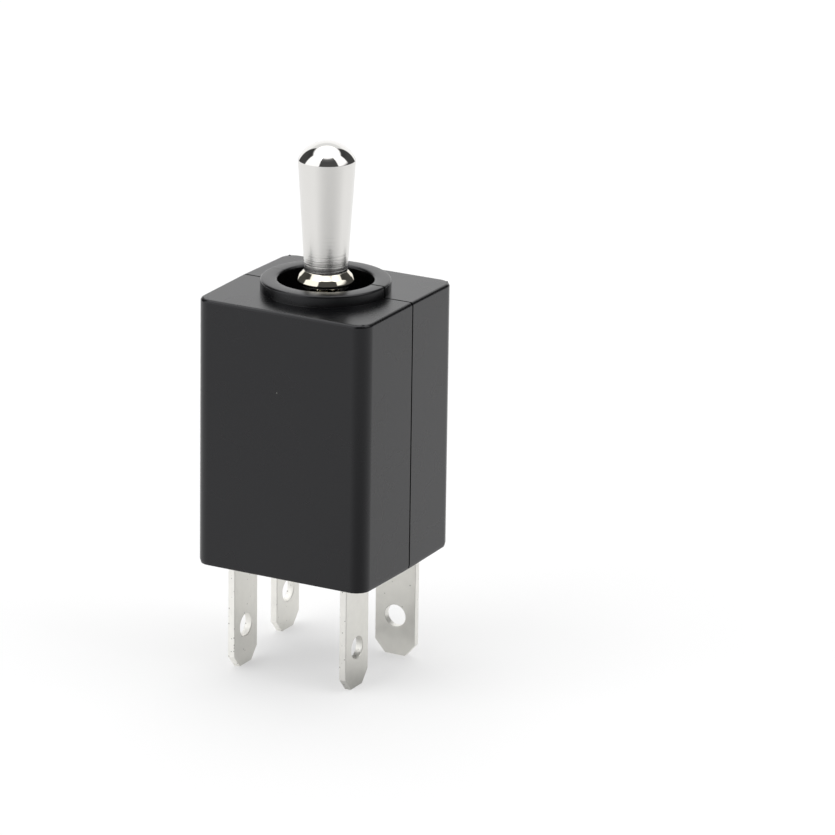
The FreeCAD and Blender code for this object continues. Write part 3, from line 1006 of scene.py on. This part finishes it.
@dataclass
class Lever:
    """The plated lever, turned in one piece with its bead, hub and bored tail.

    Args:
        rim_radius: radius of the dome's rim.
        rim_height: height of that rim.
        rim_edge: rounding of the rim.
        neck_radius: radius of the shaft above the bead.
        neck_height: height where the shaft meets the bead.
        neck_edge: rounding between them.
        shoulder_radius: radius of the bead's shoulder.
        shoulder_height: height of that shoulder.
        shoulder_edge: rounding of the shoulder.
        bead_radius: largest radius of the bead.
        bead_height: height of that radius.
        bead_edge: rounding there.
        bead_under: height where the bead meets the stem.
        stem_radius: radius of the stem in the slot.
        stem_edge: rounding between bead and stem.
        hub_radius: radius of the hub that the pin passes through.
        hub_half_height: half height of the hub.
        hub_edge: rounding of the hub.
        tail_radius: radius of the bored tail.
        tail_edge: rounding of its lower end.
        bore_radius: radius of the bore.
        bore_roof: depth of the bore's roof below the pin.
        fine_edge: rounding of the bore and of the corners beside the hub.
        pivot: height of the pin.
        pin_hole_radius: radius of the hole for it.
    """

    rim_radius: float = 2.96 * MM
    rim_height: float = 13.75 * MM
    rim_edge: float = 0.07 * MM
    neck_radius: float = 2.22 * MM
    neck_height: float = 2.08 * MM
    neck_edge: float = 0.12 * MM
    shoulder_radius: float = 2.74 * MM
    shoulder_height: float = 1.55 * MM
    shoulder_edge: float = 0.5 * MM
    bead_radius: float = 3.09 * MM
    bead_height: float = 0.92 * MM
    bead_edge: float = 0.36 * MM
    bead_under: float = -0.2 * MM
    stem_radius: float = 1.75 * MM
    stem_edge: float = 0.2 * MM
    hub_radius: float = 2.5 * MM
    hub_half_height: float = 1.4 * MM
    hub_edge: float = 0.15 * MM
    tail_radius: float = 2.1 * MM
    tail_edge: float = 0.3 * MM
    bore_radius: float = 1.45 * MM
    bore_roof: float = 1.8 * MM
    fine_edge: float = 0.1 * MM
    pivot: float = -6.4 * MM
    pin_hole_radius: float = 0.85 * MM

    def profile(self) -> list[Vector]:
        """Outline from the dome's top down the outside and back up the bore.

        Returns:
            Points in the XZ plane.
        """
        low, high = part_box("bat_lever")
        rise = high.z - self.rim_height
        dome_radius = (self.rim_radius ** 2 + rise ** 2) / (2 * rise)
        dome_centre = Vector((0, 0, high.z - dome_radius))
        rim_angle = math.acos(self.rim_radius / dome_radius)
        dome = arc_points(dome_centre, dome_radius, math.pi / 2, rim_angle, steps=32)
        hub_top, hub_foot = self.pivot + self.hub_half_height, self.pivot - self.hub_half_height
        roof = self.pivot - self.bore_roof
        corners = [
            Corner(dome[-2].x, dome[-2].z),
            Corner(self.rim_radius, self.rim_height, self.rim_edge),
            Corner(self.neck_radius, self.neck_height, self.neck_edge),
            Corner(self.shoulder_radius, self.shoulder_height, self.shoulder_edge),
            Corner(self.bead_radius, self.bead_height, self.bead_edge),
            Corner(self.stem_radius, self.bead_under, self.stem_edge),
            Corner(self.stem_radius, hub_top, self.fine_edge),
            Corner(self.hub_radius, hub_top, self.hub_edge),
            Corner(self.hub_radius, hub_foot, self.hub_edge),
            Corner(self.tail_radius, hub_foot, self.fine_edge),
            Corner(self.tail_radius, low.z, self.tail_edge),
            Corner(self.bore_radius, low.z, self.fine_edge),
            Corner(self.bore_radius, roof, self.fine_edge),
            Corner(0.0, roof),
        ]
        return dome[:-2] + rounded_path(corners, steps=6)

    def build(self, finishes: Finishes) -> None:
        """Makes the lever.

        Args:
            finishes: the materials.
        """
        reach = 2 * self.hub_radius
        pin_hole = Form().rod(self.pin_hole_radius, 0, self.pivot, -reach, reach)
        form = Form().turn_profile(self.profile(), steps=160).carve(Carve.CUT, pin_hole)
        make_piece("turned_lever", form, [finishes.by_slot[Slot.LEVER]], Body.LEVER,
                   ["bat_lever"])


@dataclass
class Blade:
    """One tinned terminal: a stamped tab, bent to a tongue inside the case.

    Args:
        name: which terminal.
        width: width of the tab.
        thickness: thickness of the strip.
        tip_length: height of the slanting sides of the tip.
        tip_inset: how far they come in on each side.
        hole_radius: radius of the hole.
        edge_round: rounding of the outer rims.
        hole_round: rounding of the hole's rims.
        bend_radius: inner radius of the bend.
        smooth_below: largest angle between two faces that look like one.
    """

    name: str
    width: float = 4.75 * MM
    thickness: float = 0.8 * MM
    tip_length: float = 1.35 * MM
    tip_inset: float = 1.2 * MM
    hole_radius: float = 1.2 * MM
    edge_round: float = 0.1 * MM
    hole_round: float = 0.07 * MM
    bend_radius: float = 0.3 * MM
    smooth_below: float = 9 * DEGREE

    def __post_init__(self) -> None:
        """Reads the blade's place and the bend's direction and height from the frame."""
        self.low, self.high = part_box("blade_" + self.name)
        mounts = {mount["name"]: mount for mount in frame["record"]["mounts"]}
        self.hole = Vector(mounts["hole_" + self.name]["pos_m"])
        middle = (self.low + self.high) / 2
        self.bend = Vector((middle.x - self.hole.x, middle.y - self.hole.y, 0)).normalized()
        self.top = self.high.z - self.thickness - self.bend_radius

    def outline(self) -> list[Vector]:
        """Corners of the tab below the bend, across X and up Z, from the lower left.

        Returns:
            The six corners.
        """
        half = self.width / 2
        tip = half - self.tip_inset
        shoulder = self.low.z + self.tip_length
        return [Vector((-tip, 0, self.low.z)), Vector((tip, 0, self.low.z)), Vector((half, 0, shoulder)),
                Vector((half, 0, self.top)), Vector((-half, 0, self.top)), Vector((-half, 0, shoulder))]

    def tab(self) -> Form:
        """Flat tab with its hole and rounded edges, centred on its thickness.

        Returns:
            The tab.
        """
        form = Form()
        mesh = form.mesh
        corners = [mesh.verts.new(place) for place in self.outline()]
        for pair in zip(corners, corners[1:] + corners[:1]):
            mesh.edges.new(pair)
        stand = Matrix.Translation((0, 0, self.hole.z)) @ Matrix.Rotation(math.pi / 2, 4, "X")
        bmesh.ops.create_circle(mesh, cap_ends=False, segments=64, radius=self.hole_radius, matrix=stand)
        sheet = bmesh.ops.triangle_fill(mesh, edges=mesh.edges[:], use_beauty=True)["geom"]
        faces = [item for item in sheet if isinstance(item, BMFace)]
        form.pull(faces, Vector((0, self.thickness, 0)), keep=True)
        form.move(Matrix.Translation((0, -self.thickness / 2, 0))).weld()
        return self.soften(form)

    def soften(self, form: Form) -> Form:
        """Rounds the tab's rims and marks its sheared faces.

        Args:
            form: the square-edged tab.

        Returns:
            The same form.
        """
        sides = {face for face in form.mesh.faces if abs(face.normal.y) < 0.5}
        hole_rims, outer_rims = [], []
        for edge in form.mesh.edges:
            at_bend = all(vert.co.z > self.top - TOUCH for vert in edge.verts)
            if at_bend or len(sides.intersection(edge.link_faces)) != 1:
                continue
            reach = max(math.hypot(vert.co.x, vert.co.z - self.hole.z) for vert in edge.verts)
            (hole_rims if reach < self.hole_radius + TOUCH else outer_rims).append(edge)
        for face in sides:
            face.material_index = 1
        form.round_off(hole_rims, self.hole_round, segments=3)
        return form.round_off((edge for edge in outer_rims if edge.is_valid), self.edge_round, segments=4)

    def fold(self, form: Form) -> Form:
        """Bends the tab's upper end towards -Y into the tongue.

        Args:
            form: the tab.

        Returns:
            The same form.
        """
        far = self.high if self.bend.x + self.bend.y > 0 else self.low
        reach = abs((far - self.hole).dot(self.bend))
        seam = form.faces(lambda place: place.z > self.top - TOUCH)
        inside = -self.thickness / 2 - self.bend_radius
        swept = bmesh.ops.spin(form.mesh, geom=seam, cent=(0, inside, self.top), axis=(1, 0, 0),
                               dvec=(0, 0, 0), angle=math.pi / 2, steps=12, use_duplicate=False)["geom_last"]
        end = [item for item in swept if isinstance(item, BMFace)]
        form.pull(end, Vector((0, -(reach + inside), 0)))
        form.drop(seam + end)
        return form.weld()

    def build(self, finishes: Finishes) -> None:
        """Makes the blade.

        Args:
            finishes: the materials.
        """
        turn = math.atan2(self.bend.y, self.bend.x) + math.pi / 2
        place = Matrix.Translation((self.hole.x, self.hole.y, 0)) @ Matrix.Rotation(turn, 4, "Z")
        make_piece("tinned_" + self.name, self.fold(self.tab()).move(place),
                   [finishes.by_slot[Slot.BLADE], finishes.sheared], Body.HOUSING,
                   ["blade_" + self.name], self.smooth_below)


class Works:
    """The solids inside the case and the terminal base, which keep their own meshes."""

    def dress(self, finishes: Finishes) -> None:
        """Gives each solid its slot's material.

        Args:
            finishes: the materials.
        """
        for subpart in frame["record"]["subparts"]:
            slot = Slot(subpart["material_slot"])
            node = frame["nodes"][subpart["node"]]
            if not node.material_slots:
                node.data.materials.append(None)
            node.material_slots[0].material = finishes.by_slot[slot]
            LOG.info("%s: %s", node.name, slot.value)


# Studio


@dataclass
class Studio:
    """Floor, light and camera.

    Args:
        azimuth: side that the camera looks from, degrees from -Y towards +X.
        elevation: height of the camera above the horizon, degrees.
        roll: turn of the camera about its line of sight, degrees.
        distance: from the camera to the aim point.
        aim_height: height of the aim point on the axis.
        pan: how far the line of sight passes to the right of the aim point, degrees.
        tilt: how far it passes below it, degrees.
        lens: focal length.
        shade_aside: how far the darker floor before the camera lies to its right, degrees.
        shade_half: half width of that darker floor, degrees.
        shade_soft: width of its soft sides, degrees.
        shade_reach: distance from the axis where it grows paler.
        shade_fade: length over which it does.
    """

    azimuth: float = 29.1005
    elevation: float = 17.6456
    roll: float = 0.5464
    distance: float = 617.259 * MM
    aim_height: float = -10.018 * MM
    pan: float = 0.885
    tilt: float = 0.3382
    lens: float = 258.683
    shade_aside: float = 16.0
    shade_half: float = 38.0
    shade_soft: float = 64.0
    shade_reach: float = 92 * MM
    shade_fade: float = 40 * MM

    def camera(self) -> None:
        """Sets up the camera at the reference view."""
        turn, rise = self.azimuth * DEGREE, self.elevation * DEGREE
        away = Vector((math.sin(turn) * math.cos(rise), -math.cos(turn) * math.cos(rise), math.sin(rise)))
        level_right = (-away).cross(Vector((0, 0, 1))).normalized()
        level_up = level_right.cross(-away)
        roll = self.roll * DEGREE
        right = math.cos(roll) * level_right + math.sin(roll) * level_up
        up = -math.sin(roll) * level_right + math.cos(roll) * level_up
        sight = (-away + math.tan(self.pan * DEGREE) * right
                 - math.tan(self.tilt * DEGREE) * up).normalized()
        right = (right - right.dot(sight) * sight).normalized()
        up = right.cross(sight)
        data = bpy.data.cameras.new("camera")
        data.lens = self.lens
        data.sensor_width = 36.0
        data.clip_start, data.clip_end = 0.01, 20.0
        eye = Vector((0, 0, self.aim_height)) + self.distance * away
        camera = put_in_scene("camera", data)
        camera.matrix_world = Matrix.Translation(eye) @ Matrix((right, up, -sight)).transposed().to_4x4()
        bpy.context.scene.camera = camera

    def floor(self) -> None:
        """Pale floor under the blades, which keeps a soft shadow."""
        form = Form()
        bmesh.ops.create_grid(form.mesh, x_segments=1, y_segments=1, size=3.0)
        mesh = form.move(Matrix.Translation((0, 0, CAD_BOX[0].z))).to_mesh("floor")
        material, bench = new_material("pale_floor")
        mesh.materials.append(material)
        seen = bench.signal("ShaderNodeLightPath", output="Is Camera Ray")
        under = bench.signal("ShaderNodeNewGeometry", output="Backfacing")
        turn = (self.azimuth + self.shade_aside) * DEGREE
        x, y, _ = bench.axes(bench.place())
        ahead = x * math.sin(turn) - y * math.cos(turn)
        across = x * math.cos(turn) + y * math.sin(turn)
        beside = bench.calculate("ABSOLUTE", bench.calculate("ARCTAN2", across, ahead))
        shade = (beside.below(self.shade_half * DEGREE, self.shade_soft * DEGREE)
                 * (0.5 + 0.5 * ahead.below(self.shade_reach, self.shade_fade)))
        near = shade * (1.0 - seen)
        sheet, light = bench.blend(near, (0.9,) * 3, (0.5,) * 3), bench.blend(near, (1.0,) * 3, (0.56,) * 3)
        paper = bench.signal("ShaderNodeBsdfDiffuse", {"Color": sheet})
        glow = bench.signal("ShaderNodeEmission", {"Color": light, "Strength": 1.03})
        lifted = bench.signal("ShaderNodeMixShader", {0: 0.42 + 0.08 * seen, 1: paper, 2: glow})
        clear = bench.signal("ShaderNodeBsdfTransparent")
        shown = bench.signal("ShaderNodeMixShader", {0: under * seen, 1: lifted, 2: clear})
        bench.add("ShaderNodeOutputMaterial", {"Surface": shown})
        floor = put_in_scene("floor", mesh)

    def tent(self) -> None:
        """White light tent all round, brightest above, with dark gaps behind and beside the camera."""
        world = bpy.data.worlds.new("light_tent")
        bpy.context.scene.world = world
        world.use_nodes = True
        bench = Bench(world.node_tree)
        ray = bench.signal("ShaderNodeTexCoord", output="Generated")
        turned = bench.signal("ShaderNodeVectorRotate", {"Vector": ray, "Angle": -self.azimuth * DEGREE},
                              rotation_type="Z_AXIS")
        lateral, ahead, rise = bench.axes(turned)
        aside = bench.calculate("ARCTAN2", lateral, 0.0 - ahead)
        reach = bench.calculate("ABSOLUTE", aside)
        height = bench.calculate("ARCSINE", rise)
        soft = 5 * DEGREE
        # Bearings run from the camera's side towards its right, and heights from the horizon.
        behind_camera = aside.between(-34 * DEGREE, 50 * DEGREE, soft) * height.below(66 * DEGREE, 3 * soft)
        side_gaps = reach.between(98 * DEGREE, 144 * DEGREE, soft) * height.below(50 * DEGREE, soft)
        under_panels = aside.between(40 * DEGREE, 120 * DEGREE, soft) * height.below(25 * DEGREE, 2 * soft)
        dark = behind_camera | side_gaps | under_panels
        back = reach.above(104 * DEGREE, soft) * height.below(58 * DEGREE, soft)
        high_back = back * height.above(34 * DEGREE, 2 * soft)
        bright = 1.4 - back * 0.2 - high_back * 0.25 + height.above(54 * DEGREE, soft) * 0.95
        seen = bench.signal("ShaderNodeLightPath", output="Is Camera Ray")
        level = bright * (1.0 - dark * 0.94) * (1.0 - seen) + seen
        shown = bench.signal("ShaderNodeBackground", {"Color": (1.0, 1.0, 1.0), "Strength": level})
        bench.add("ShaderNodeOutputWorld", {"Surface": shown})

    def build(self) -> None:
        """Sets up camera, floor and light."""
        self.camera()
        self.floor()
        self.tent()
        bpy.context.scene.view_settings.view_transform = "Standard"


def main() -> None:
    """Builds and dresses the switch."""
    logging.basicConfig(level=logging.INFO, format="%(message)s")
    finishes = Finishes()
    Works().dress(finishes)
    Case().build(finishes)
    Lever().build(finishes)
    for name in ("front_left", "back_left", "front_right", "back_right"):
        Blade(name).build(finishes)
    Studio().build()


if __name__ == "__main__":
    main()
